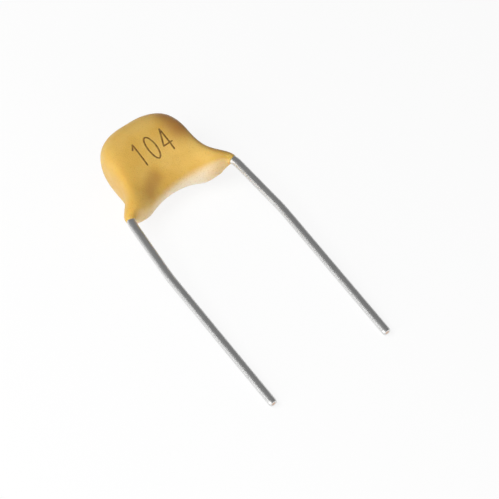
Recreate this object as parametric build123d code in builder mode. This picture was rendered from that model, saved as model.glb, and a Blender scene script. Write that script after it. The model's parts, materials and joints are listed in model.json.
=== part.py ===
from build123d import *
from math import asin, copysign, cos, sin
import os

# Radial multilayer ceramic capacitor with a dipped epoxy coat and two long leads, in millimetres.
# It lies on its back: the coat's rear shoulder and the two lead tips touch the ground at Z = 0.
# X runs from the left lead to the right lead, Y from the lead tips to the body, Z is up.

# Ceramic block and the electrode layers fired into it
chip_length = 3.2
chip_width = 2.5
chip_thickness = 1.5
chip_edge_radius = 0.1
dielectric_thickness = 0.020
electrode_thickness = 0.004
electrode_count = 21
end_margin = 0.4
side_margin = 0.3

# Fired metal caps on the block's ends, and the solder that joins them to the leads
cap_thickness = 0.06
cap_band = 0.5
solder_gap = 0.03
solder_length = 1.8
solder_foot = 0.55
solder_grip_angle = 60
solder_hollow_share = 0.3

# Leads: round tinned wire, flared from the chip to the hole pitch, in front of the block's middle
chip_drop = 0.5
lead_diameter = 0.5
lead_pitch = 7.62
lead_start = 0.95
lead_shoulder_depth = 1.4
lead_elbow_depth = 3.28
lead_elbow_inset = 0.31
lead_set_depth = 7.5
lead_tip_depth = 17.3
shoulder_radius = 1.2
elbow_radius = 1.5
set_radius = 12.0
tip_chamfer = 0.04

# Coat of epoxy: the resin round the block, and the legs that run down the leads
front_wall = 0.34
back_wall = 1.1
side_wall = 0.37
top_wall = 1.02
crotch_wall = 1.42
leg_side_wall = 0.1
leg_front_wall = 0.08
leg_back_wall = 0.34
leg_run = 4.79

# Coat sections of the body, from the middle to one side: the crotch end of each as shares of the arch
# between the legs, its outer end as shares of the half width and the top, then shares of the half thickness
# and of the drop, the fullness of the corners, and how much of it is left in the web at the crotch
body_shares = (
    (0.00, 0.00, 0.00, 1.00, 1.00, 1.00, 0.85, 0.62),
    (0.26, 0.09, 0.55, 0.93, 1.00, 1.00, 0.85, 0.66),
    (0.45, 0.27, 0.92, 0.56, 0.96, 1.00, 0.85, 0.78),
    (0.60, 0.46, 1.00, -0.12, 0.86, 0.95, 0.85, 0.92),
)

# Coat sections of a leg: the crotch end as shares of the same arch, the outer end as a share of the coated
# run of the lead and a share of the side wall, then the thickness, drop, fullness and web as in the body
leg_shares = (
    (0.75, 0.65, 0.647, 0.58, 0.74, 0.70, 0.78, 0.95),
    (0.92, 0.82, 0.824, 0.36, 0.54, 0.44, 0.73, 1.00),
)
round_share = 0.71

# Spots looked at round each coat section when the resting attitude is found
outline_steps = 360

# Sizes that follow from the driving ones
lead_radius = lead_diameter / 2
cap_reach = chip_length / 2 + cap_thickness
lead_inset = cap_reach + solder_gap + lead_radius
coat_half_width = lead_inset + lead_radius + side_wall
coat_front = chip_thickness / 2 + cap_thickness - chip_drop + front_wall
coat_back = chip_thickness / 2 + cap_thickness + chip_drop + back_wall
coat_half_thickness = (coat_front + coat_back) / 2
coat_drop = (coat_back - coat_front) / 2
coat_top = chip_width / 2 + top_wall
coat_crotch = chip_width / 2 + crotch_wall
leg_half_width = lead_radius + leg_side_wall
leg_half_thickness = lead_radius + (leg_front_wall + leg_back_wall) / 2
leg_drop = (leg_back_wall - leg_front_wall) / 2


def ring(half_reach, half_thickness, corner_share, web_share):
    """A section of the coat: a smooth closed curve with full corners, thinner in its web."""
    swell = 6 / (4 + 2 * corner_share)
    reach = swell * half_reach
    rise = swell * half_thickness
    corner = (corner_share * reach, corner_share * rise)
    upper = [(reach, 0), corner, (0, rise), (-corner[0], web_share * corner[1]), (-reach, 0)]
    poles = upper + [(across, -up) for across, up in upper[-2:0:-1]]
    return BSpline(poles, range(len(poles) + 1), 3, periodic=True)


# Course of the right lead in the plane of the leads, from the cap to the tip
lead_points = (
    (lead_inset, lead_start),
    (lead_inset, -lead_shoulder_depth),
    (lead_pitch / 2 - lead_elbow_inset, -lead_elbow_depth),
    (lead_pitch / 2, -lead_set_depth),
    (lead_pitch / 2, -lead_tip_depth),
)
bend_radii = (shoulder_radius, elbow_radius, set_radius)
with BuildLine() as lead_course:
    FilletPolyline(*lead_points, radius=bend_radii)
course = lead_course.wires()[0]


def beside_lead(run, standoff):
    """A point beside the lead, some way along it, on the side away from the other lead."""
    centre = course.position_at(run, PositionMode.LENGTH)
    ahead = course.tangent_at(run, PositionMode.LENGTH)
    return centre + ahead.rotate(Axis.Z, 90) * standoff


# End of a leg, square to its lead
leg_inner = beside_lead(leg_run, -leg_half_width)
leg_outer = beside_lead(leg_run, leg_half_width)


def arch(across_share, down_share):
    """A point of the arch between the legs, from the middle of the crotch to the end of a leg."""
    return Vector(across_share * leg_inner.X, down_share * (leg_inner.Y + coat_crotch) - coat_crotch)


# Sections of the coat's right half: crotch end, outer end, half thickness, drop, fullness and web
half_sections = []
for across, down, outer_x, outer_y, thick, drop, corner_share, web_share in body_shares:
    outer = Vector(outer_x * coat_half_width, outer_y * coat_top)
    thickness = thick * coat_half_thickness
    half_sections.append((arch(across, down), outer, thickness, drop * coat_drop, corner_share, web_share))
for across, down, run, wall, thick, drop, corner_share, web_share in leg_shares:
    outer = beside_lead(run * leg_run, lead_radius + wall * side_wall)
    thickness = thick * coat_half_thickness
    half_sections.append((arch(across, down), outer, thickness, drop * coat_drop, corner_share, web_share))
half_sections.append((leg_inner, leg_outer, leg_half_thickness, leg_drop, round_share, 1))

# Outlines of these sections, as distances along the leads and up from their plane
outline = []
for inner, outer, thick, drop, corner_share, web_share in half_sections:
    section = ring((outer - inner).length / 2, thick, corner_share, web_share)
    lean = (outer - inner).normalized().Y
    for step in range(outline_steps):
        spot = section @ (step / outline_steps)
        outline.append(((inner.Y + outer.Y) / 2 + lean * spot.X, spot.Y - drop))


def reach_towards(along, up):
    """How far the coat reaches towards a direction."""
    return max(along * spot_along + up * spot_up for spot_along, spot_up in outline)


# Resting attitude: the tilt at which the coat's rear shoulder and the lead tips share one ground plane
contact_depth = lead_tip_depth - tip_chamfer
tilt = 0
for attempt in range(12):
    rest_z = reach_towards(-sin(tilt), -cos(tilt))
    tilt = asin((rest_z - lead_radius * cos(tilt)) / contact_depth)
head_y = reach_towards(cos(tilt), -sin(tilt))
tip_y = -lead_tip_depth * cos(tilt) - (lead_radius - tip_chamfer) * sin(tilt)
rest_y = -(head_y + tip_y) / 2
lie = Plane(origin=(0, rest_y, rest_z), x_dir=(1, 0, 0), z_dir=(0, -sin(tilt), cos(tilt)))
endwise = Plane(origin=lie.origin, x_dir=lie.x_dir, z_dir=-lie.y_dir)
chip_plane = lie.offset(-chip_drop)


def finish(piece, name):
    """Label a finished piece and write its file."""
    piece.part.label = name
    export_step(piece.part, f"parts/{name}.step")


os.makedirs("parts", exist_ok=True)

# Fired block with rounded edges, before the electrode layers are taken out of it
with BuildPart() as block:
    with BuildSketch(chip_plane.offset(-chip_thickness / 2)):
        Rectangle(chip_length, chip_width)
    extrude(amount=chip_thickness)
    fillet(block.edges().filter_by(Axis.X), chip_edge_radius)

# Electrode layers, each reaching one end of the block in turn
layer_pitch = dielectric_thickness + electrode_thickness
plate_length = chip_length - end_margin
plate_width = chip_width - 2 * side_margin
plates = []
for layer in range(electrode_count):
    side = 1 if layer % 2 else -1
    level = (layer - (electrode_count - 1) / 2) * layer_pitch - electrode_thickness / 2
    with BuildPart() as plate:
        with BuildSketch(chip_plane.offset(level)):
            with Locations((side * end_margin / 2, 0)):
                Rectangle(plate_length, plate_width)
        extrude(amount=electrode_thickness)
    side_name = "right" if layer % 2 else "left"
    finish(plate, f"electrode_{side_name}_{layer // 2 + 1:02d}")
    plates.append(plate.part)

# Ceramic body: the block with a seat for every electrode layer
with BuildPart() as ceramic_body:
    add(block.part)
    add(plates, mode=Mode.SUBTRACT)
finish(ceramic_body, "ceramic_body")

# End caps: a skin of fired metal over each end of the block
cap_length = cap_band + cap_thickness
with BuildPart() as right_termination:
    with BuildSketch(chip_plane.offset(-chip_thickness / 2 - cap_thickness)):
        with Locations((cap_reach - cap_length / 2, 0)):
            Rectangle(cap_length, chip_width + 2 * cap_thickness)
    extrude(amount=chip_thickness + 2 * cap_thickness)
    fillet(right_termination.edges().filter_by(Axis.X), chip_edge_radius + cap_thickness)
    add(block.part, mode=Mode.SUBTRACT)
finish(right_termination, "right_termination")

with BuildPart() as left_termination:
    mirror(right_termination.part, about=Plane.YZ)
finish(left_termination, "left_termination")

# Leads: along the cap, out through the leg of the coat, then straight at the hole pitch
with BuildPart() as right_lead:
    with BuildLine(lie) as lead_path:
        FilletPolyline(*lead_points, radius=bend_radii)
    with BuildSketch(Plane(origin=lead_path.line @ 0, z_dir=lead_path.line % 0)):
        Circle(lead_radius)
    sweep()
    chamfer(right_lead.faces().sort_by(Axis.Y)[0].edges(), tip_chamfer)
finish(right_lead, "right_lead")

with BuildPart() as left_lead:
    mirror(right_lead.part, about=Plane.YZ)
finish(left_lead, "left_lead")

# Solder: a hollow fillet between the cap and the lead, with a short foot in front and a long one behind
cap_flat = chip_thickness / 2 - chip_edge_radius - chip_drop
lead_centre = Vector(lead_inset, 0)
with BuildPart() as right_solder:
    with BuildSketch(endwise.offset(-solder_length / 2)):
        with BuildLine():
            ends = []
            for height, turn in ((cap_flat, solder_grip_angle), (-solder_foot, -solder_grip_angle)):
                foot = Vector(cap_reach, height)
                grip = lead_centre + Vector(-lead_radius, 0).rotate(Axis.Z, -turn)
                corner = Vector(cap_reach, grip.Y)
                bow = (foot + grip) / 2 * (1 - solder_hollow_share) + corner * solder_hollow_share
                ThreePointArc(foot, bow, grip)
                Line(grip, lead_centre)
                ends.append(foot)
            Line(*ends)
        make_face()
    extrude(amount=solder_length)
    add(right_lead.part, mode=Mode.SUBTRACT)
finish(right_solder, "right_solder")

with BuildPart() as left_solder:
    mirror(right_solder.part, about=Plane.YZ)
finish(left_solder, "left_solder")

# Outer form of the coat: one loft from the end of the left leg, over the body, to the end of the right leg
with BuildPart() as dip:
    for index in range(1 - len(half_sections), len(half_sections)):
        inner, outer, thick, drop, corner_share, web_share = half_sections[abs(index)]
        side = copysign(1, index)
        start = lie.from_local_coords(Vector(side * inner.X, inner.Y, -drop))
        end = lie.from_local_coords(Vector(side * outer.X, outer.Y, -drop))
        across = (end - start).normalized()
        with BuildSketch(Plane(origin=(start + end) / 2, x_dir=across, z_dir=across.cross(lie.z_dir))):
            with BuildLine():
                ring((end - start).length / 2, thick, corner_share, web_share)
            make_face()
    loft()

# Epoxy coat: the dipped form, filled by the block with its caps, the solder and the leads
with BuildPart() as epoxy_coating:
    add(dip.part)
    add(block.part, mode=Mode.SUBTRACT)
    for filling in (left_termination, right_termination, left_solder, right_solder, left_lead, right_lead):
        add(filling.part, mode=Mode.SUBTRACT)
finish(epoxy_coating, "epoxy_coating")
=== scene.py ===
# %% [markdown]
# A dipped ceramic capacitor
#
# A small ceramic block, soldered between two tinned wires, is dipped in golden epoxy. The resin runs down
# the wires and leaves a rounded body with two legs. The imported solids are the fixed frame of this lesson.
# Each step dresses one part of it: the resin skin, the marking burnt into it, the wires, and last the light
# and the camera. The frame stays where it is, and every new mesh is tied to it.

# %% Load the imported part
import json
import math

import bmesh
import bpy
from mathutils import Matrix, Vector
from mathutils.bvhtree import BVHTree


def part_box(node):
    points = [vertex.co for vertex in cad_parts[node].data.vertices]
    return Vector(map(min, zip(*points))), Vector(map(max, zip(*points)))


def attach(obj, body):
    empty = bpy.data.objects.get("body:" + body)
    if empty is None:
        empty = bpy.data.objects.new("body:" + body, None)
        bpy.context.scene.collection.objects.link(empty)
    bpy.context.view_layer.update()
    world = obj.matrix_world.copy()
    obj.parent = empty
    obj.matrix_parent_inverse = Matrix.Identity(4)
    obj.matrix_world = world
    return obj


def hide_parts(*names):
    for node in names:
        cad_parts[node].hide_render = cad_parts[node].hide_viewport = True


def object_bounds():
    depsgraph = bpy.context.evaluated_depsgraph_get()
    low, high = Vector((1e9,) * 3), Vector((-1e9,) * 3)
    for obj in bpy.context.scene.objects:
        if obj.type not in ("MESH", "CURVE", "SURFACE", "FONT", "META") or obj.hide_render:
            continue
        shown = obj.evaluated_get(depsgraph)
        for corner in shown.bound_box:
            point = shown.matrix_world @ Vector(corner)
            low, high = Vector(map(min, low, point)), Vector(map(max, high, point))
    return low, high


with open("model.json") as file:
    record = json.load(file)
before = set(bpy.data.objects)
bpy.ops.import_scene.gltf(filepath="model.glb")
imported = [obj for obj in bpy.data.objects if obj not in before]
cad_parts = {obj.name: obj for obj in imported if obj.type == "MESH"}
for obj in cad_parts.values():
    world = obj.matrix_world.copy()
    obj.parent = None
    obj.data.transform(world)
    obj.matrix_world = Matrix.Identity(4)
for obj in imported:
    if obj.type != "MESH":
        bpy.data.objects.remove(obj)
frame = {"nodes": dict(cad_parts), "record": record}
cad_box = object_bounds()
print("nodes", len(frame["nodes"]), "box", [tuple(round(c * 1000, 3) for c in corner) for corner in cad_box])

# %% [markdown]
# The part's own axes
#
# The capacitor lies on its back, tipped by a few degrees, so the world's axes are awkward to draw in. The
# record states where each lead's straight run is and which way it points. From that comes a frame of the
# part's own, in millimetres: x from the left lead to the right one, y from the tips to the body, z out of
# the marked face, and zero in the plane of the leads, level with the middle of the block. All shapes below
# are drawn there.

# %% Axes in millimetres
MM = 0.001
pins = {mount["name"]: mount for mount in frame["record"]["mounts"]}
right_pin = pins["right_lead_pin"]
across = Vector((1, 0, 0))
along = -Vector(right_pin["axis"]).normalized()
facing = across.cross(along)
block_low, block_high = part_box("ceramic_body")
block_middle = (block_low + block_high) / 2
lead_rise = (Vector(right_pin["pos_m"]) - block_middle).dot(facing)
part_origin = block_middle + facing * lead_rise
axes = Matrix((across, along, facing)).transposed()
to_row = Matrix.Translation(part_origin) @ axes.to_4x4() @ Matrix.Scale(MM, 4)
to_part = to_row.inverted()
part_tilt = math.atan2(along.z, along.y)
print("tilt", round(math.degrees(part_tilt), 3), "origin mm", [round(c / MM, 3) for c in part_origin])

# %% [markdown]
# Building node trees
#
# Geometry and shader trees are built alike: nodes are added, their sockets get values, and links join them.
# They could be drawn by hand in the editor, but a script can be run again and read line by line. These
# helpers add a node with its properties, fill a socket with a number or a link, make a tree with named
# sockets, and work out one value from two others.

# %% Helpers for node trees
def add_node(tree, kind, **settings):
    """Add a node and set its properties."""
    made = tree.nodes.new(kind)
    for name, value in settings.items():
        setattr(made, name, value)
    return made


def fill(tree, socket, value):
    """Give a socket a plain number, or link it to another node's socket."""
    if isinstance(value, (int, float)):
        socket.default_value = value
    else:
        tree.links.new(value, socket)


def new_tree(name, kind, inputs, outputs):
    """A tree with named sockets: inputs as name: (socket type, value), outputs as name: socket type."""
    tree = bpy.data.node_groups.new(name, kind)
    for label, (socket_type, value) in inputs.items():
        socket = tree.interface.new_socket(label, in_out="INPUT", socket_type=socket_type)
        if value is not None:
            socket.default_value = value
    for label, socket_type in outputs.items():
        tree.interface.new_socket(label, in_out="OUTPUT", socket_type=socket_type)
    return tree, add_node(tree, "NodeGroupInput"), add_node(tree, "NodeGroupOutput")


def maths(tree, operation, first, second):
    """What a Math node makes of two values, each a socket or a number."""
    made = add_node(tree, "ShaderNodeMath", operation=operation)
    for socket, value in zip(made.inputs, (first, second)):
        fill(tree, socket, value)
    return made.outputs["Value"]


# %% [markdown]
# Geometry trees
#
# Two pieces here get their shape from a geometry tree. Each tree takes a mesh, its sizes as named inputs and
# a material. Measures that a finish needs later are stored on the mesh under a name. Instances would be lost
# in the export, so a tree ends by making them real and giving the result its material.

# %% Helpers for geometry trees
def new_geometry_tree(name, sizes):
    """A tree that takes a mesh, named sizes and a material, and gives a mesh."""
    inputs = {"Geometry": ("NodeSocketGeometry", None), **sizes, "Material": ("NodeSocketMaterial", None)}
    return new_tree(name, "GeometryNodeTree", inputs, {"Geometry": "NodeSocketGeometry"})


def store(tree, geometry, name, value, domain="POINT"):
    """Keep a measure on the mesh under a name."""
    made = add_node(tree, "GeometryNodeStoreNamedAttribute", data_type="FLOAT", domain=domain)
    made.inputs["Name"].default_value = name
    tree.links.new(geometry, made.inputs["Geometry"])
    tree.links.new(value, made.inputs["Value"])
    return made.outputs["Geometry"]


def end_tree(tree, tree_in, geometry, tree_out):
    """Realize what is instanced, give it the tree's material and send it out."""
    real = add_node(tree, "GeometryNodeRealizeInstances")
    paint = add_node(tree, "GeometryNodeSetMaterial")
    tree.links.new(geometry, real.inputs["Geometry"])
    tree.links.new(real.outputs["Geometry"], paint.inputs["Geometry"])
    tree.links.new(tree_in.outputs["Material"], paint.inputs["Material"])
    tree.links.new(paint.outputs["Geometry"], tree_out.inputs["Geometry"])


# %% [markdown]
# From a recipe to a plain mesh
#
# An object with modifiers is a recipe, and the export needs its result. The evaluated object is copied into
# a plain mesh, and the modifiers are removed. A tree's inputs are set by the socket's identifier, because
# names may repeat, and before the object is first evaluated.

# %% Helpers for plain meshes
def new_piece(name, mesh):
    """Link a new mesh object into the scene."""
    piece = bpy.data.objects.new(name, mesh)
    bpy.context.scene.collection.objects.link(piece)
    return piece


def keep_result(piece):
    """Turn an object with its modifiers into a plain mesh, with no modifier left."""
    evaluated = piece.evaluated_get(bpy.context.evaluated_depsgraph_get())
    mesh = bpy.data.meshes.new_from_object(evaluated)
    mesh.name = piece.name
    piece.modifiers.clear()
    piece.data = mesh


def run_tree(piece, tree, **values):
    """Run a geometry tree on an object, and keep the result as its plain mesh."""
    modifier = piece.modifiers.new(tree.name, "NODES")
    modifier.node_group = tree
    for item in tree.interface.items_tree:
        key = item.name.replace(" ", "_").lower()
        if item.in_out == "INPUT" and key in values:
            modifier[item.identifier] = values[key]
    keep_result(piece)


# %% [markdown]
# Tying a piece to the frame
#
# A finished piece is brought from millimetres into the row by changing its mesh, so that its object stays at
# the origin and patterns on Object coordinates hold still. Then it is tied to the one body of this part, and
# takes the place of the solid that it dresses.

# %% Helper that settles a piece
def settle(piece, slot, *nodes):
    """Bring a finished piece into the row, smooth it, and tie it to the frame."""
    piece.data.transform(to_row)
    for polygon in piece.data.polygons:
        polygon.use_smooth = True
    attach(piece, "root")
    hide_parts(*nodes)
    print(piece.name, "triangles", sum(len(polygon.vertices) - 2 for polygon in piece.data.polygons))


# %% [markdown]
# Millimetres for the finishes
#
# Every finish here changes a little over its surface. Patterns have to follow the part and not the world, so
# one shader group turns Object coordinates into the part's own millimetres. It is built once and placed in
# each material, which keeps all patterns on one scale.

# %% Shader group of the part's millimetres
part_millimetres, group_in, group_out = new_tree(
    "part_millimetres", "ShaderNodeTree", {}, {"Vector": "NodeSocketVector"})
place = add_node(part_millimetres, "ShaderNodeTexCoord")
turn = add_node(part_millimetres, "ShaderNodeMapping", vector_type="TEXTURE")
turn.inputs["Location"].default_value = part_origin
turn.inputs["Rotation"].default_value = (part_tilt, 0, 0)
turn.inputs["Scale"].default_value = (MM, MM, MM)
part_millimetres.links.new(place.outputs["Object"], turn.inputs["Vector"])
part_millimetres.links.new(turn.outputs["Vector"], group_out.inputs["Vector"])
print("group", part_millimetres.name, "nodes", len(part_millimetres.nodes))

# %% [markdown]
# A soft cloud
#
# Resin has clouds in it, tin has dull patches and fired ceramic has grain. All of these are noise of some
# size, spread between two values. A second group makes that from a size in millimetres. Its soft step
# stretches the middle of the noise, where most of it lies, over the whole range.

# %% Shader group of a cloud
NOISE_MIDDLE = (0.3, 0.7)
cloud_group, group_in, group_out = new_tree("cloud", "ShaderNodeTree", {
    "Vector": ("NodeSocketVector", None),
    "Size": ("NodeSocketFloat", 1.0),
    "Detail": ("NodeSocketFloat", 3.0),
    "Low": ("NodeSocketFloat", 0.0),
    "High": ("NodeSocketFloat", 1.0),
}, {"Value": "NodeSocketFloat"})
shrink = add_node(cloud_group, "ShaderNodeVectorMath", operation="DIVIDE")
noise = add_node(cloud_group, "ShaderNodeTexNoise")
noise.inputs["Scale"].default_value = 1.0
spread = add_node(cloud_group, "ShaderNodeMapRange", interpolation_type="SMOOTHSTEP")
spread.inputs["From Min"].default_value, spread.inputs["From Max"].default_value = NOISE_MIDDLE
for source, target in (
        (group_in.outputs["Vector"], shrink.inputs[0]),
        (group_in.outputs["Size"], shrink.inputs[1]),
        (shrink.outputs["Vector"], noise.inputs["Vector"]),
        (group_in.outputs["Detail"], noise.inputs["Detail"]),
        (noise.outputs["Fac"], spread.inputs["Value"]),
        (group_in.outputs["Low"], spread.inputs["To Min"]),
        (group_in.outputs["High"], spread.inputs["To Max"]),
        (spread.outputs["Result"], group_out.inputs["Value"])):
    cloud_group.links.new(source, target)
print("group", cloud_group.name, "nodes", len(cloud_group.nodes))

# %% [markdown]
# A workbench for materials
#
# A finish is a material with one Principled shader. This small class holds both, with a method for each
# thing that the finishes do again and again: feed a socket, read a measure off the mesh, make a cloud, mix
# two colours and add bump. Constant values go on the shader's own sockets.

# %% Class of a finish
class Finish:
    """A material with its Principled shader and the part's millimetres at hand."""

    def __init__(self, name):
        self.material = bpy.data.materials.new(name)
        self.material.use_nodes = True
        self.tree = self.material.node_tree
        self.shader = self.tree.nodes["Principled BSDF"]
        self.place = add_node(self.tree, "ShaderNodeGroup", node_tree=part_millimetres).outputs["Vector"]

    def feed(self, name, source):
        """Link one of the shader's sockets to a value that changes over the surface."""
        self.tree.links.new(source, self.shader.inputs[name])

    def set(self, name, value):
        """Set one of the shader's own sockets to a constant value."""
        self.shader.inputs[name].default_value = value

    def measure(self, name):
        """A measure that the mesh carries."""
        return add_node(self.tree, "ShaderNodeAttribute", attribute_name=name).outputs["Fac"]

    def cloud(self, size, span=(0.0, 1.0), detail=3.0, vector=None):
        """A soft cloud of a size in millimetres, between two values."""
        made = add_node(self.tree, "ShaderNodeGroup", node_tree=cloud_group)
        self.tree.links.new(vector or self.place, made.inputs["Vector"])
        for label, value in zip(("Size", "Detail", "Low", "High"), (size, detail, *span)):
            made.inputs[label].default_value = value
        return made.outputs["Value"]

    def mix(self, factor, first, second):
        """A colour between two, each a socket or a plain colour."""
        made = add_node(self.tree, "ShaderNodeMix", data_type="RGBA")
        self.tree.links.new(factor, made.inputs["Factor"])
        for socket, value in ((made.inputs[6], first), (made.inputs[7], second)):
            if isinstance(value, tuple):
                socket.default_value = (*value, 1)
            else:
                self.tree.links.new(value, socket)
        return made.outputs[2]

    def bump(self, height, depth):
        """Bump of a depth in millimetres."""
        made = add_node(self.tree, "ShaderNodeBump")
        made.inputs["Distance"].default_value = depth * MM
        self.tree.links.new(height, made.inputs["Height"])
        self.feed("Normal", made.outputs["Normal"])


# %% [markdown]
# Golden epoxy: its colour
#
# The resin is a golden yellow that drifts between a pale and a deep tone, with fine specks of dust in it. A
# brown painted shade lies on the sides that face away from the lamps, and a pale painted light on the rims
# below. The marking is burnt in as dark lines. An image could hold all this, but it would need unwrapping
# and look coarse up close. Here the mesh carries three masks, made further down, and the colour is mixed
# from them.

# %% Colour of the epoxy
PALE_GOLD = (0.72, 0.47, 0.12)
DEEP_GOLD = (0.66, 0.40, 0.078)
# Brown of the painted shade on the sides that face away from the lamps.
PAINTED_SHADE_BROWN = (0.43, 0.207, 0.048)
# Cream of the painted light on the rims that face down and forward.
RIM_LIGHT_CREAM = (0.86, 0.74, 0.55)
SPECK_BROWN = (0.42, 0.23, 0.05)
BURNT_BROWN = (0.15, 0.066, 0.018)
DRIFT_SIZE = 1.7
SPECK_SIZE = 0.07
SPECK_SPAN = (-1.0, 0.28)
BURN_SIZE = 0.12
BURN_SPAN = (0.72, 1.0)

epoxy = Finish("golden_epoxy")
marking = epoxy.measure("marking")
drift = epoxy.mix(epoxy.cloud(DRIFT_SIZE, detail=2.0), DEEP_GOLD, PALE_GOLD)
# Pale painted light on the rims that face down and forward.
rim_light_painted = epoxy.mix(epoxy.measure("painted_rim_light"), drift, RIM_LIGHT_CREAM)
# Brown painted shade where the skin faces away from the lamps.
shade_painted = epoxy.mix(epoxy.measure("painted_shade"), rim_light_painted, PAINTED_SHADE_BROWN)
speckled = epoxy.mix(epoxy.cloud(SPECK_SIZE, SPECK_SPAN, detail=2.0), shade_painted, SPECK_BROWN)
burnt = maths(epoxy.tree, "MULTIPLY", marking, epoxy.cloud(BURN_SIZE, BURN_SPAN))
epoxy.feed("Base Color", epoxy.mix(burnt, speckled, BURNT_BROWN))
print("epoxy colour nodes", len(epoxy.tree.nodes))

# %% [markdown]
# Golden epoxy: its skin
#
# Cured resin has a satin skin with pores as fine as dust, and it is duller where the beam burnt it. It is
# not quite opaque either: some light enters and comes out close by, the red part from farthest away, which
# softens the shade near the edges. A clear coat over paint would not do this, so the shader gets a small
# share of subsurface light instead.

# %% Skin of the epoxy
SATIN_SIZE = 0.5
SATIN_SPAN = (0.42, 0.54)
BURNT_ROUGHER = 0.25
PORE_SIZE = 0.06
PORE_DEPTH = 0.004
LIGHT_INSIDE_SHARE = 0.3
LIGHT_INSIDE_REACH = 0.8

burnt_dull = maths(epoxy.tree, "MULTIPLY", marking, BURNT_ROUGHER)
epoxy.feed("Roughness", maths(epoxy.tree, "ADD", epoxy.cloud(SATIN_SIZE, SATIN_SPAN), burnt_dull))
epoxy.bump(epoxy.cloud(PORE_SIZE, detail=4.0), PORE_DEPTH)
epoxy.set("Specular IOR Level", 0.5)
epoxy.set("Subsurface Weight", LIGHT_INSIDE_SHARE)
epoxy.set("Subsurface Radius", (1.0, 0.45, 0.12))
epoxy.set("Subsurface Scale", LIGHT_INSIDE_REACH * MM)
print("epoxy nodes", len(epoxy.tree.nodes))

# %% [markdown]
# Tinned wire
#
# The leads are copper wire with a satin skin of tin. Drawing the wire through a die leaves fine lines along
# it. Noise on the part's coordinates would cross the wire at its bends, so the pattern is stretched along
# two measures that the swept mesh carries, along the wire and around it. Shears cut the tips, and there the
# copper core shows inside a ring of tin.

# %% Finish of the wire
TIN = (0.86, 0.86, 0.85)
DULL_TIN = (0.76, 0.76, 0.755)
COPPER = (0.70, 0.50, 0.38)
LINE_LENGTH = 2.5
LINE_WIDTH = 0.06
LINE_DEPTH = 0.0003
LINE_ROUGHER = 0.05
PATCH_SIZE = 0.8
PATCH_SPAN = (0.3, 1.0)
SHEEN_SIZE = 0.35
SHEEN_SPAN = (0.36, 0.43)

tin = Finish("tinned_wire")
wire_place = add_node(tin.tree, "ShaderNodeCombineXYZ")
for axis, name, length in (("X", "run_length", LINE_LENGTH), ("Y", "turn_length", LINE_WIDTH)):
    tin.tree.links.new(maths(tin.tree, "DIVIDE", tin.measure(name), length), wire_place.inputs[axis])
drawn = tin.cloud(1.0, vector=wire_place.outputs["Vector"])
bright = maths(tin.tree, "MULTIPLY", drawn, tin.cloud(PATCH_SIZE, PATCH_SPAN))
tin.feed("Base Color", tin.mix(tin.measure("cut_core"), tin.mix(bright, DULL_TIN, TIN), COPPER))
line_dull = maths(tin.tree, "MULTIPLY", drawn, LINE_ROUGHER)
tin.feed("Roughness", maths(tin.tree, "ADD", tin.cloud(SHEEN_SIZE, SHEEN_SPAN), line_dull))
tin.bump(drawn, LINE_DEPTH)
tin.set("Metallic", 1.0)
print("tin nodes", len(tin.tree.nodes))

# %% [markdown]
# The pieces sealed in the coat
#
# Nobody sees the block, its layers, caps and solder unless the coat is hidden, but they deserve true
# finishes. Each drifts between two colours and two roughnesses with a grain of its own, so one function and
# a short table of values are enough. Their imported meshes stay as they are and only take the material.

# %% Finishes of the inner pieces
INNER_FINISHES = {
    "fired_ceramic": ((0.46, 0.36, 0.26), (0.36, 0.27, 0.19), 0.08, 0.0, (0.60, 0.75)),
    "fired_silver": ((0.72, 0.71, 0.68), (0.62, 0.61, 0.58), 0.05, 1.0, (0.45, 0.60)),
    "electrode_metal": ((0.46, 0.45, 0.43), (0.38, 0.37, 0.36), 0.10, 1.0, (0.40, 0.55)),
    "solder": ((0.62, 0.62, 0.63), (0.52, 0.52, 0.54), 0.15, 1.0, (0.20, 0.35)),
}


def inner_finish(name, pale, deep, grain, metallic, dullness):
    """A finish that drifts between two colours and two roughnesses, with a grain in millimetres."""
    finish = Finish(name)
    finish.feed("Base Color", finish.mix(finish.cloud(grain), deep, pale))
    finish.feed("Roughness", finish.cloud(grain * 2, dullness))
    finish.bump(finish.cloud(grain / 2), grain / 20)
    finish.set("Metallic", metallic)
    return finish.material


inner_materials = {name: inner_finish(name, *values) for name, values in INNER_FINISHES.items()}
slots = {row["node"]: row["material_slot"] for row in frame["record"]["subparts"]}
for name, node in frame["nodes"].items():
    if slots[name] in inner_materials:
        node.data.materials.clear()
        node.data.materials.append(inner_materials[slots[name]])
print("inner nodes painted", sum(slot in inner_materials for slot in slots.values()))

# %% [markdown]
# The resin's outer side
#
# The coat's solid has the right form, but its mesh is made of long loose facets, with a pocket for the block
# inside. A copy is merged, and its outer side is found by spreading from the highest face, never over a
# sharp edge. The two rims where the leads come out are closed, so that the form is a closed one again.

# %% Closed outer form of the coat
SHARP = math.radians(40)
VOXEL = 0.045


def spread_over(first):
    """All faces that can be reached from one face without crossing a sharp edge."""
    reached = {first}
    waiting = [first]
    while waiting:
        for edge in waiting.pop().edges:
            if len(edge.link_faces) == 2 and edge.calc_face_angle() < SHARP:
                fresh = [face for face in edge.link_faces if face not in reached]
                reached.update(fresh)
                waiting.extend(fresh)
    return reached


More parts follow.
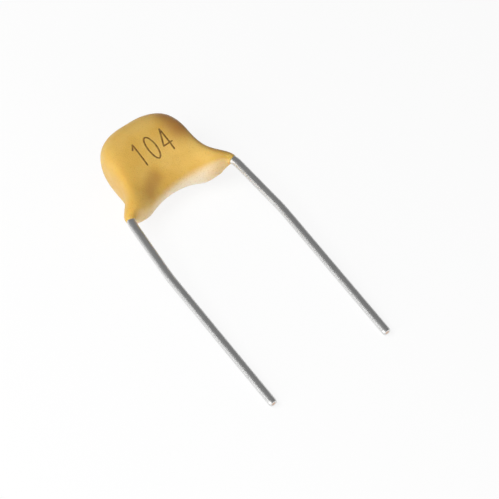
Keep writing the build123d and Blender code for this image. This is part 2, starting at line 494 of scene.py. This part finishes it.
def outer_skin(node):
    """The outer side of a node's mesh, closed at its rims, and where its rims are, in millimetres."""
    shape = bmesh.new()
    shape.from_mesh(frame["nodes"][node].data)
    shape.transform(to_part)
    bmesh.ops.remove_doubles(shape, verts=shape.verts, dist=VOXEL / 1000)
    outside = spread_over(max(shape.faces, key=lambda face: face.calc_center_median().z))
    inside = [face for face in shape.faces if face not in outside]
    bmesh.ops.delete(shape, geom=inside, context="FACES")
    open_edges = [edge for edge in shape.edges if edge.is_boundary]
    rims = bmesh.ops.holes_fill(shape, edges=open_edges)["faces"]
    bmesh.ops.recalc_face_normals(shape, faces=shape.faces)
    ends = [(rim.calc_center_bounds(), rim.normal.copy()) for rim in rims]
    mesh = bpy.data.meshes.new(node + "_skin")
    shape.to_mesh(mesh)
    print("outer faces", len(shape.faces), "open edges", sum(edge.is_boundary for edge in shape.edges))
    shape.free()
    return mesh, ends


coat_skin, leg_ends = outer_skin("epoxy_coating")

# %% [markdown]
# Even squares
#
# Fine relief needs an even mesh. Dividing the facets would keep their pattern, so the closed form is filled
# with small voxels instead, which gives squares of one size. Some smoothing then melts the facets and the
# rims, as surface tension does. This is done in millimetres, because voxels have a smallest size.

# %% Voxels and smoothing
SMOOTHING_PASSES = 40

coat = new_piece("dipped_coat", coat_skin)
voxels = coat.modifiers.new("voxels", "REMESH")
voxels.mode = "VOXEL"
voxels.voxel_size = VOXEL
relax = coat.modifiers.new("relax", "SMOOTH")
relax.iterations = SMOOTHING_PASSES
keep_result(coat)
print("coat squares", len(coat.data.polygons))

# %% [markdown]
# The legs' ends
#
# The solid's legs end in flat collars. Real resin wets the wire and thins out to nothing along it. So the
# last stretch of each leg is drawn in towards the wire's axis, more and more up to the end, until only a
# thin film is left there.

# %% Legs that thin out to the wire
WIRE_RADIUS = right_pin["dims"]["r_mm"]
FILM = 0.02
THIN_LENGTH = 0.6

thinned = 0
film_radius = WIRE_RADIUS + FILM
for centre, outward in leg_ends:
    axis_point = Vector((centre.x, centre.y, 0))
    for vertex in coat.data.vertices:
        beyond = (vertex.co - axis_point).dot(outward)
        spoke = vertex.co - axis_point - outward * beyond
        share = min(1, max(0, 1 + beyond / THIN_LENGTH))
        if share and film_radius < spoke.length < 2 * THIN_LENGTH:
            vertex.co += (spoke.normalized() * film_radius - spoke) * share ** 2
            thinned += 1
print("thinned points", thinned)

# %% [markdown]
# Strokes of the marking
#
# The value code is burnt into the face with a thin beam, in tall narrow figures of one stroke each. A font
# would give outlines with two edges, so the figures are drawn as lines, in shares of a figure's box. The
# round one comes from a formula. Points close together let the lines follow the face later.

# %% Figures in single strokes
FIGURE_HEIGHT = 1.46
FIGURE_WIDTH = 0.56
FIGURE_PITCH = 0.86
MARKING_CENTRE = Vector((0.08, -0.33))
GUIDE_STEP = 0.04
LOOP_POINTS = 40

loop_turns = [2 * math.pi * step / LOOP_POINTS for step in range(LOOP_POINTS + 1)]
figure_shares = [
    [(0.22, 0.80), (0.56, 1.00), (0.56, 0.00)],
    [(0.5 + 0.46 * math.sin(angle), 0.5 + 0.5 * math.cos(angle)) for angle in loop_turns],
    [(0.74, 0.00), (0.74, 1.00), (0.02, 0.30), (1.00, 0.30)],
]


def stroke_points(shares, middle):
    """Points along one figure's stroke, evenly close together, in the plane of the face."""
    corners = []
    for right, up in shares:
        corners.append(middle + Vector(((right - 0.5) * FIGURE_WIDTH, (up - 0.5) * FIGURE_HEIGHT)))
    points = [corners[0]]
    for first, last in zip(corners, corners[1:]):
        count = max(1, round((last - first).length / GUIDE_STEP))
        points += [first.lerp(last, step / count) for step in range(1, count + 1)]
    return points


strokes = []
for index, shares in enumerate(figure_shares):
    shift = (index - (len(figure_shares) - 1) / 2) * FIGURE_PITCH
    strokes.append(stroke_points(shares, MARKING_CENTRE + Vector((shift, 0))))
print("strokes", len(strokes), "points", sum(len(stroke) for stroke in strokes))

# %% [markdown]
# Guide lines on the resin
#
# The strokes are flat, but the face is crowned. Each point is dropped onto the resin with a ray along the
# face's normal. A second guide lies along the hollow beside the left leg, where painted shade darkens the
# resin. Both only guide the next steps, and they are removed afterwards.

# %% Lines dropped onto the face
FACE_ABOVE = 5.0
HOLLOW_ROUTE = ((-0.85, -1.88), (-1.22, -2.12), (-1.50, -2.38))

coat_tree = BVHTree.FromObject(coat, bpy.context.evaluated_depsgraph_get())


def lay_on_face(name, lines):
    """Lines in the plane of the face, dropped onto the resin and kept as the edges of a guide."""
    points = []
    edges = []
    for line in lines:
        edges += [(len(points) + step, len(points) + step + 1) for step in range(len(line) - 1)]
        for x, y in line:
            points.append(coat_tree.ray_cast(Vector((x, y, FACE_ABOVE)), Vector((0, 0, -1)))[0])
    mesh = bpy.data.meshes.new(name)
    mesh.from_pydata(points, edges, [])
    print(name, "points", len(points))
    return new_piece(name, mesh)


marking_guide = lay_on_face("marking_guide", strokes)
hollow_guide = lay_on_face("hollow_guide", [HOLLOW_ROUTE])

# %% [markdown]
# A finer mesh under the marking
#
# A groove a tenth of a millimetre wide needs smaller squares than the rest of the coat. Smaller voxels
# everywhere would make a heavy mesh. So only the squares near the guide lines are divided, twice over, and
# the larger faces left at the border are cut into triangles.

# %% Finer squares under the marking
FINE_REACH = 0.13
FINE_PASSES = 2

guide_tree = BVHTree.FromPolygons(
    [vertex.co for vertex in marking_guide.data.vertices],
    [(*edge.vertices, edge.vertices[0]) for edge in marking_guide.data.edges], all_triangles=True)


def near_guide(vertex, reach):
    """Whether a vertex lies within reach of the guide lines."""
    return guide_tree.find_nearest(vertex.co, reach)[0] is not None


for level in range(FINE_PASSES):
    fine = bmesh.new()
    fine.from_mesh(coat.data)
    reach = FINE_REACH + (FINE_PASSES - 1 - level) * VOXEL
    chosen = [edge for edge in fine.edges if all(near_guide(vertex, reach) for vertex in edge.verts)]
    bmesh.ops.subdivide_edges(fine, edges=chosen, cuts=1, use_grid_fill=True)
    bmesh.ops.triangulate(fine, faces=[face for face in fine.faces if len(face.verts) > 4])
    fine.to_mesh(coat.data)
    fine.free()
print("coat faces after refining", len(coat.data.polygons))

# %% [markdown]
# A tree for the cured skin
#
# A geometry tree can measure the skin and move it in one go. It takes the two guides and all sizes as named
# inputs, so that each can be changed without touching a node. The helpers read fields, which are values at
# every point: a soft step between two values, how far the skin faces a direction, and the distance to a
# guide's lines.

# %% Inputs and fields of the skin's tree
dip_finish, dip_in, dip_out = new_geometry_tree("dip_finish", {
    "Guide": ("NodeSocketObject", None),
    "Hollow": ("NodeSocketObject", None),
    "Stroke Width": ("NodeSocketFloat", 0.105),
    "Groove Depth": ("NodeSocketFloat", 0.025),
    "Peel Size": ("NodeSocketFloat", 0.30),
    "Peel Depth": ("NodeSocketFloat", 0.006),
    "Sag Size": ("NodeSocketFloat", 1.3),
    "Sag Depth": ("NodeSocketFloat", 0.05),
    # The direction that the painted shade faces.
    "Drained To": ("NodeSocketVector", (0.92, 0.25, -0.30)),
    "Rim Towards": ("NodeSocketVector", (-0.42, -0.83, -0.36)),
})
dip_link = dip_finish.links.new
position = add_node(dip_finish, "GeometryNodeInputPosition").outputs["Position"]
normal = add_node(dip_finish, "GeometryNodeInputNormal").outputs["Normal"]


def dip_maths(operation, first, second):
    """What a Math node makes of two fields of the skin's tree."""
    return maths(dip_finish, operation, first, second)


def ramp(field, span):
    """A soft step from 0 at the first value of a span to 1 at the second."""
    made = add_node(dip_finish, "ShaderNodeMapRange", interpolation_type="SMOOTHSTEP")
    dip_link(field, made.inputs["Value"])
    for name, value in zip(("From Min", "From Max"), span):
        fill(dip_finish, made.inputs[name], value)
    return made.outputs["Result"]


def facing_to(name):
    """How far the skin faces a direction that is one of the tree's inputs."""
    made = add_node(dip_finish, "ShaderNodeVectorMath", operation="DOT_PRODUCT")
    dip_link(normal, made.inputs[0])
    dip_link(dip_in.outputs[name], made.inputs[1])
    return made.outputs["Value"]


def distance_to(name):
    """The distance to the lines of a guide that is one of the tree's inputs."""
    lines = add_node(dip_finish, "GeometryNodeObjectInfo", transform_space="ORIGINAL")
    dip_link(dip_in.outputs[name], lines.inputs["Object"])
    nearest = add_node(dip_finish, "GeometryNodeProximity", target_element="EDGES")
    dip_link(lines.outputs["Geometry"], nearest.inputs["Geometry"])
    return nearest.outputs["Distance"]


# %% [markdown]
# Mask of the marking
#
# The beam's groove is deepest and darkest in its middle and fades over the stroke's edges. The distance to
# the guide lines, put through a soft step, gives a mask from 1 to 0. It is stored on the mesh, so that the
# colour and the groove always agree.

# %% Mask of the marking
FULL_STROKE_SHARE = 0.30
NO_STROKE_SHARE = 0.62

stroke_span = [dip_maths("MULTIPLY", dip_in.outputs["Stroke Width"], share)
               for share in (NO_STROKE_SHARE, FULL_STROKE_SHARE)]
marking_mask = ramp(distance_to("Guide"), stroke_span)
marked = store(dip_finish, dip_in.outputs["Geometry"], "marking", marking_mask)
print("skin tree nodes", len(dip_finish.nodes))

# %% [markdown]
# Painted shade and painted light on the resin
#
# A brown painted shade lies on the right flank, the right shoulder and the hollow beside the left leg, the
# sides that face away from the lamps. The rims that face down and forward get a pale painted light. Masks
# could be painted by hand, but fields follow the form by themselves: they know where a point is and which
# way the skin faces there. Both tints fade out along the legs, whose ends stay plain gold.

# %% Painted shade and painted light on the resin
FLANK_FACING = (-0.31, 0.30)
FLANK_X = (-0.3, 0.8)
FLANK_SHARE = 0.55
SHOULDER_X = (0.9, 2.0)
SHOULDER_Y = (-1.5, -0.1)
SHOULDER_Z = (-1.0, 0.3)
HOLLOW_REACH = (0.80, 0.05)
HOLLOW_SHARE = 0.62
SHADE_Y = (-3.3, -2.8)
RIM_FACING = (0.30, 0.92)
RIM_Y = (-3.5, -2.8)

spot = add_node(dip_finish, "ShaderNodeSeparateXYZ")
dip_link(position, spot.inputs["Vector"])
spot_x, spot_y, spot_z = spot.outputs
# Painted shade: brown on the right flank, the right shoulder and the hollow, which face away from the lamps.
flank = dip_maths("MULTIPLY", ramp(facing_to("Drained To"), FLANK_FACING), ramp(spot_x, FLANK_X))
flank = dip_maths("MULTIPLY", flank, FLANK_SHARE)
shoulder = dip_maths("MULTIPLY", ramp(spot_x, SHOULDER_X), ramp(spot_y, SHOULDER_Y))
shoulder = dip_maths("MULTIPLY", shoulder, ramp(spot_z, SHOULDER_Z))
hollow = dip_maths("MULTIPLY", ramp(distance_to("Hollow"), HOLLOW_REACH), HOLLOW_SHARE)
shade_mask = dip_maths("MAXIMUM", dip_maths("MAXIMUM", flank, shoulder), hollow)
# Painted light: a pale tint on the rims that face down and forward.
rim = dip_maths("MULTIPLY", ramp(facing_to("Rim Towards"), RIM_FACING), ramp(spot_y, RIM_Y))
tinted = store(dip_finish, marked, "painted_shade", dip_maths("MULTIPLY", shade_mask, ramp(spot_y, SHADE_Y)))
tinted = store(dip_finish, tinted, "painted_rim_light", rim)
print("skin tree nodes", len(dip_finish.nodes))

# %% [markdown]
# Orange peel, sag and groove
#
# Dipped resin is never quite even. It sags in broad shallow waves and cures with a faint orange peel. Both
# are noise that pushes the skin along its normal, and the groove is taken off the same height. Bump in the
# material would be lighter, but it leaves the outline flat, and this relief is large enough to be seen.

# %% Relief of the skin
def wave(name):
    """Noise of one of the tree's sizes, centred on zero and scaled to its depth."""
    shrunk = add_node(dip_finish, "ShaderNodeVectorMath", operation="DIVIDE")
    field = add_node(dip_finish, "ShaderNodeTexNoise")
    field.inputs["Scale"].default_value = 1.0
    field.inputs["Detail"].default_value = 1.0
    dip_link(position, shrunk.inputs[0])
    dip_link(dip_in.outputs[name + " Size"], shrunk.inputs[1])
    dip_link(shrunk.outputs["Vector"], field.inputs["Vector"])
    centred = dip_maths("SUBTRACT", field.outputs["Fac"], 0.5)
    return dip_maths("MULTIPLY", centred, dip_in.outputs[name + " Depth"])


groove = dip_maths("MULTIPLY", marking_mask, dip_in.outputs["Groove Depth"])
height = dip_maths("SUBTRACT", dip_maths("ADD", wave("Peel"), wave("Sag")), groove)
push = add_node(dip_finish, "ShaderNodeVectorMath", operation="SCALE")
dip_link(normal, push.inputs[0])
dip_link(height, push.inputs["Scale"])
moved = add_node(dip_finish, "GeometryNodeSetPosition")
dip_link(tinted, moved.inputs["Geometry"])
dip_link(push.outputs["Vector"], moved.inputs["Offset"])
end_tree(dip_finish, dip_in, moved.outputs["Geometry"], dip_out)

run_tree(coat, dip_finish, guide=marking_guide, hollow=hollow_guide, material=epoxy.material)
bpy.data.objects.remove(marking_guide)
bpy.data.objects.remove(hollow_guide)
settle(coat, "dipped_epoxy", "epoxy_coating")

# %% [markdown]
# The route of a lead
#
# A lead is one wire: beside the block, out through the leg of the coat, and straight on at the hole pitch.
# It could be one curve drawn by eye. A few corners, each with its own bend radius, are easier to set, and
# the straight run comes from the record, so it agrees with the solids.

# %% Corners of a lead
TIP_CHAMFER = 0.04
pin_middle = to_part @ Vector(right_pin["pos_m"])
half_pitch = pin_middle.x
straight_end = pin_middle.y - right_pin["dims"]["length_mm"] / 2
lead_route = (
    ((1.94, 0.95), 0.0),
    ((1.94, -1.40), 1.2),
    ((half_pitch - 0.31, -3.28), 1.5),
    ((half_pitch, -7.50), 12.0),
    ((half_pitch, straight_end - TIP_CHAMFER), 0.0),
)
print("half pitch", round(half_pitch, 3), "straight end", round(straight_end, 3))

# %% [markdown]
# Rounding the route
#
# A wire follows a path, which suits a geometry tree. The route comes in as a line of edges, with each
# corner's bend radius on its point. Fillet rounds every corner by its own radius, and resampling gives even
# steps. The curve's normals are kept upright, so that the sweep doesn't twist.

# %% Tree of the wire: its path
BEND_POINTS = 24

swept_wire, wire_in, wire_out = new_geometry_tree("swept_wire", {
    "Wire Radius": ("NodeSocketFloat", WIRE_RADIUS),
    "Tip Share": ("NodeSocketFloat", 0.84),
    "Tip Length": ("NodeSocketFloat", TIP_CHAMFER),
    "Core Share": ("NodeSocketFloat", 0.55),
    "Sides": ("NodeSocketInt", 48),
    "Step": ("NodeSocketFloat", 0.1),
})
wire_link = swept_wire.links.new
route = add_node(swept_wire, "GeometryNodeMeshToCurve")
bend = add_node(swept_wire, "GeometryNodeInputNamedAttribute", data_type="FLOAT")
bend.inputs["Name"].default_value = "bend_radius"
rounded = add_node(swept_wire, "GeometryNodeFilletCurve", mode="POLY")
rounded.inputs["Count"].default_value = BEND_POINTS
even = add_node(swept_wire, "GeometryNodeResampleCurve", mode="LENGTH")
upright = add_node(swept_wire, "GeometryNodeSetCurveNormal", mode="Z_UP")
wire_link(wire_in.outputs["Geometry"], route.inputs["Mesh"])
wire_link(route.outputs["Curve"], rounded.inputs["Curve"])
wire_link(bend.outputs["Attribute"], rounded.inputs["Radius"])
wire_link(rounded.outputs["Curve"], even.inputs["Curve"])
wire_link(wire_in.outputs["Step"], even.inputs["Length"])
wire_link(even.outputs["Curve"], upright.inputs["Curve"])
path = upright.outputs["Curve"]
print("wire tree nodes", len(swept_wire.nodes))

# %% [markdown]
# Sweeping the wire
#
# A circle swept along the path makes the skin of the wire. Two measures are kept on the mesh, along the wire
# and around it, for the drawn lines of its finish. Close to the end of the path the circle gets smaller,
# which gives the small chamfer of a cut tip without another modifier.

# %% Tree of the wire: its skin
length_so_far = add_node(swept_wire, "GeometryNodeSplineParameter").outputs["Length"]
circle = add_node(swept_wire, "GeometryNodeCurvePrimitiveCircle", mode="RADIUS")
wire_link(wire_in.outputs["Sides"], circle.inputs["Resolution"])
wire_link(wire_in.outputs["Wire Radius"], circle.inputs["Radius"])
whole = add_node(swept_wire, "GeometryNodeCurveLength")
wire_link(path, whole.inputs["Curve"])
slimmer = add_node(swept_wire, "ShaderNodeMapRange")
wire_link(maths(swept_wire, "SUBTRACT", whole.outputs["Length"], length_so_far), slimmer.inputs["Value"])
wire_link(wire_in.outputs["Tip Length"], slimmer.inputs["From Max"])
wire_link(wire_in.outputs["Tip Share"], slimmer.inputs["To Min"])
sweep = add_node(swept_wire, "GeometryNodeCurveToMesh")
sweep.inputs["Fill Caps"].default_value = True
run = store(swept_wire, path, "run_length", length_so_far)
around = store(swept_wire, circle.outputs["Curve"], "turn_length", length_so_far)
wire_link(run, sweep.inputs["Curve"])
wire_link(around, sweep.inputs["Profile Curve"])
wire_link(slimmer.outputs["Result"], sweep.inputs["Scale"])
print("wire tree nodes", len(swept_wire.nodes))

# %% [markdown]
# The cut core
#
# Shears leave a flat end, in which copper shows inside a ring of tin. The sweep's caps are the only faces
# with more than four corners, so they are easy to find. Extruding them by nothing and scaling the new faces
# insets them, and the inner face is marked as core for the finish.

# %% Tree of the wire: its cut ends
SIDE_CORNERS = 4

neighbours = add_node(swept_wire, "GeometryNodeInputMeshFaceNeighbors")
is_cap = add_node(swept_wire, "FunctionNodeCompare", data_type="INT", operation="GREATER_THAN")
is_cap.inputs["B"].default_value = SIDE_CORNERS
inset = add_node(swept_wire, "GeometryNodeExtrudeMesh", mode="FACES")
inset.inputs["Offset Scale"].default_value = 0
narrow = add_node(swept_wire, "GeometryNodeScaleElements", domain="FACE")
wire_link(neighbours.outputs["Vertex Count"], is_cap.inputs["A"])
wire_link(sweep.outputs["Mesh"], inset.inputs["Mesh"])
wire_link(is_cap.outputs["Result"], inset.inputs["Selection"])
wire_link(inset.outputs["Mesh"], narrow.inputs["Geometry"])
wire_link(inset.outputs["Top"], narrow.inputs["Selection"])
wire_link(wire_in.outputs["Core Share"], narrow.inputs["Scale"])
cut = store(swept_wire, narrow.outputs["Geometry"], "cut_core", inset.outputs["Top"], domain="FACE")
end_tree(swept_wire, wire_in, cut, wire_out)
print("wire tree nodes", len(swept_wire.nodes))

# %% [markdown]
# Two leads
#
# The two leads are mirror images. Mirroring a finished mesh would turn it inside out, so each route is drawn
# on its own side and swept by the same tree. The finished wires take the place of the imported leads.

# %% Left and right lead
def wire_piece(name, side):
    """One lead, swept along its route on one side of the part."""
    points = [(side * x, y, 0) for (x, y), radius in lead_route]
    mesh = bpy.data.meshes.new(name)
    mesh.from_pydata(points, [(step, step + 1) for step in range(len(points) - 1)], [])
    bends = mesh.attributes.new("bend_radius", "FLOAT", "POINT")
    bends.data.foreach_set("value", [radius for point, radius in lead_route])
    piece = new_piece(name, mesh)
    run_tree(piece, swept_wire, wire_radius=WIRE_RADIUS, material=tin.material)
    return piece


for name, side in (("left", -1), ("right", 1)):
    settle(wire_piece(f"{name}_wire", side), "tinned_copper", f"{name}_lead")

# %% [markdown]
# A floor of white paper
#
# The part lies on plain white paper, one large square at the height of the lowest point. It belongs to the
# stage and not to the part, so it is named as such and stays out of the export.

# %% Paper floor
FLOOR_HALF = 0.6

floor_z = cad_box[0].z
corners = [(x * FLOOR_HALF, y * FLOOR_HALF, floor_z) for x, y in ((-1, -1), (1, -1), (1, 1), (-1, 1))]
floor_mesh = bpy.data.meshes.new("paper_floor")
floor_mesh.from_pydata(corners, [], [(0, 1, 2, 3)])
floor = new_piece("paper_floor", floor_mesh)
print("floor height mm", round(floor_z / MM, 4))

# %% [markdown]
# Paper that looks white
#
# Paper under these lamps would look light grey, and brighter lamps would wash out the resin. So rays from
# the camera, and mirror-like and see-through ones, meet mostly plain white. The rest of what they see is the
# lit paper, which keeps a faint shadow of the part.

# %% Finish of the paper
PAPER = (0.9, 0.9, 0.9, 1)
PAPER_ROUGHNESS = 0.9
WHITE_SHARE = 0.87

paper = bpy.data.materials.new("white_paper")
paper.use_nodes = True
paper_tree = paper.node_tree
lit_paper = paper_tree.nodes["Principled BSDF"]
lit_paper.inputs["Base Color"].default_value = PAPER
lit_paper.inputs["Roughness"].default_value = PAPER_ROUGHNESS
plain_white = add_node(paper_tree, "ShaderNodeEmission")
rays = add_node(paper_tree, "ShaderNodeLightPath").outputs
seen = maths(paper_tree, "MAXIMUM", rays["Is Camera Ray"], rays["Is Glossy Ray"])
seen = maths(paper_tree, "MAXIMUM", seen, rays["Is Transmission Ray"])
blend = add_node(paper_tree, "ShaderNodeMixShader")
paper_tree.links.new(maths(paper_tree, "MULTIPLY", seen, WHITE_SHARE), blend.inputs["Fac"])
paper_tree.links.new(lit_paper.outputs["BSDF"], blend.inputs[1])
paper_tree.links.new(plain_white.outputs["Emission"], blend.inputs[2])
paper_tree.links.new(blend.outputs["Shader"], paper_tree.nodes["Material Output"].inputs["Surface"])
floor.data.materials.append(paper)
print("paper nodes", len(paper_tree.nodes))

# %% [markdown]
# Tent and lamps
#
# A tent of grey cloth gives even light from all sides, and three soft lamps shape the form. One stands high
# at the left, one low in front of the tips and one low at the left, so the left flank and the rims are
# bright and the right shoulder falls into shade. Their directions are in the part's axes. The first two are
# kept out of mirror images, which leaves one half of each wire dark and the other white from the paper.

# %% Tent and lamps
TENT_GREY = 0.23
LAMPS = {
    "high_lamp": ((-0.50, 0.20, 0.84), 0.09, 0.06, 0.062, False),
    "front_lamp": ((-0.25, -0.95, 0.22), 0.09, 0.07, 0.048, False),
    "left_lamp": ((-0.98, -0.10, 0.30), 0.15, 0.10, 0.078, True),
}

world = bpy.data.worlds.new("tent")
world.use_nodes = True
world.node_tree.nodes["Background"].inputs["Color"].default_value = (TENT_GREY, TENT_GREY, TENT_GREY, 1)
bpy.context.scene.world = world


def soft_lamp(name, direction, distance, size, power, mirrored):
    """A square soft lamp that looks at the body from a direction, and may be left out of mirror images."""
    lamp = bpy.data.lights.new(name, "AREA")
    lamp.size = size
    lamp.energy = power
    stand = bpy.data.objects.new(name, lamp)
    bpy.context.scene.collection.objects.link(stand)
    towards = (axes @ Vector(direction)).normalized()
    stand.location = part_origin + towards * distance
    stand.rotation_euler = towards.to_track_quat("Z", "Y").to_euler()
    stand.visible_camera = False
    stand.visible_glossy = mirrored


for name, values in LAMPS.items():
    soft_lamp(name, *values)
print("lamps", len(LAMPS))

# %% [markdown]
# Where the camera looks
#
# The camera looks down on the marked face from the front left. Its right and back directions were read off
# the photograph in the part's axes, and so were the picture's scale and the pixel of the part's origin. From
# these come the camera's own axes and the point in the middle of the picture.

# %% View of the photograph
PIXELS = 499
PIXELS_PER_MM = 17.92
ORIGIN_PIXEL = (147.98, 148.85)
VIEW_RIGHT = Vector((0.813, -0.5823, 0.0))
VIEW_BACK = Vector((-0.3016, -0.4212, 0.8550))

view_right = (axes @ VIEW_RIGHT).normalized()
view_back = (axes @ VIEW_BACK).normalized()
view_up = view_back.cross(view_right).normalized()
right_shift = (PIXELS / 2 - ORIGIN_PIXEL[0]) / PIXELS_PER_MM * MM
up_shift = (ORIGIN_PIXEL[1] - PIXELS / 2) / PIXELS_PER_MM * MM
target = part_origin + view_right * right_shift + view_up * up_shift
print("target mm", [round(c / MM, 3) for c in target])

# %% [markdown]
# A long lens
#
# Small parts are pictured with a long lens from far away, which keeps parallel wires parallel. The distance
# follows from the lens and from the width that the picture shows. The Standard view transform keeps colours
# as they are written.

# %% Camera
FOCAL_MM = 320
SENSOR_MM = 36
CLIP_START = 0.01

lens = bpy.data.cameras.new("long_lens")
lens.lens = FOCAL_MM
lens.sensor_width = SENSOR_MM
lens.clip_start = CLIP_START
camera = bpy.data.objects.new("camera", lens)
bpy.context.scene.collection.objects.link(camera)
frame_width = PIXELS / PIXELS_PER_MM * MM
camera_place = target + view_back * frame_width * FOCAL_MM / SENSOR_MM
camera_axes = Matrix((view_right, view_up, view_back)).transposed()
camera.matrix_world = Matrix.Translation(camera_place) @ camera_axes.to_4x4()
bpy.context.scene.camera = camera
bpy.context.scene.view_settings.view_transform = "Standard"
print("camera distance mm", round((camera_place - target).length / MM, 1))
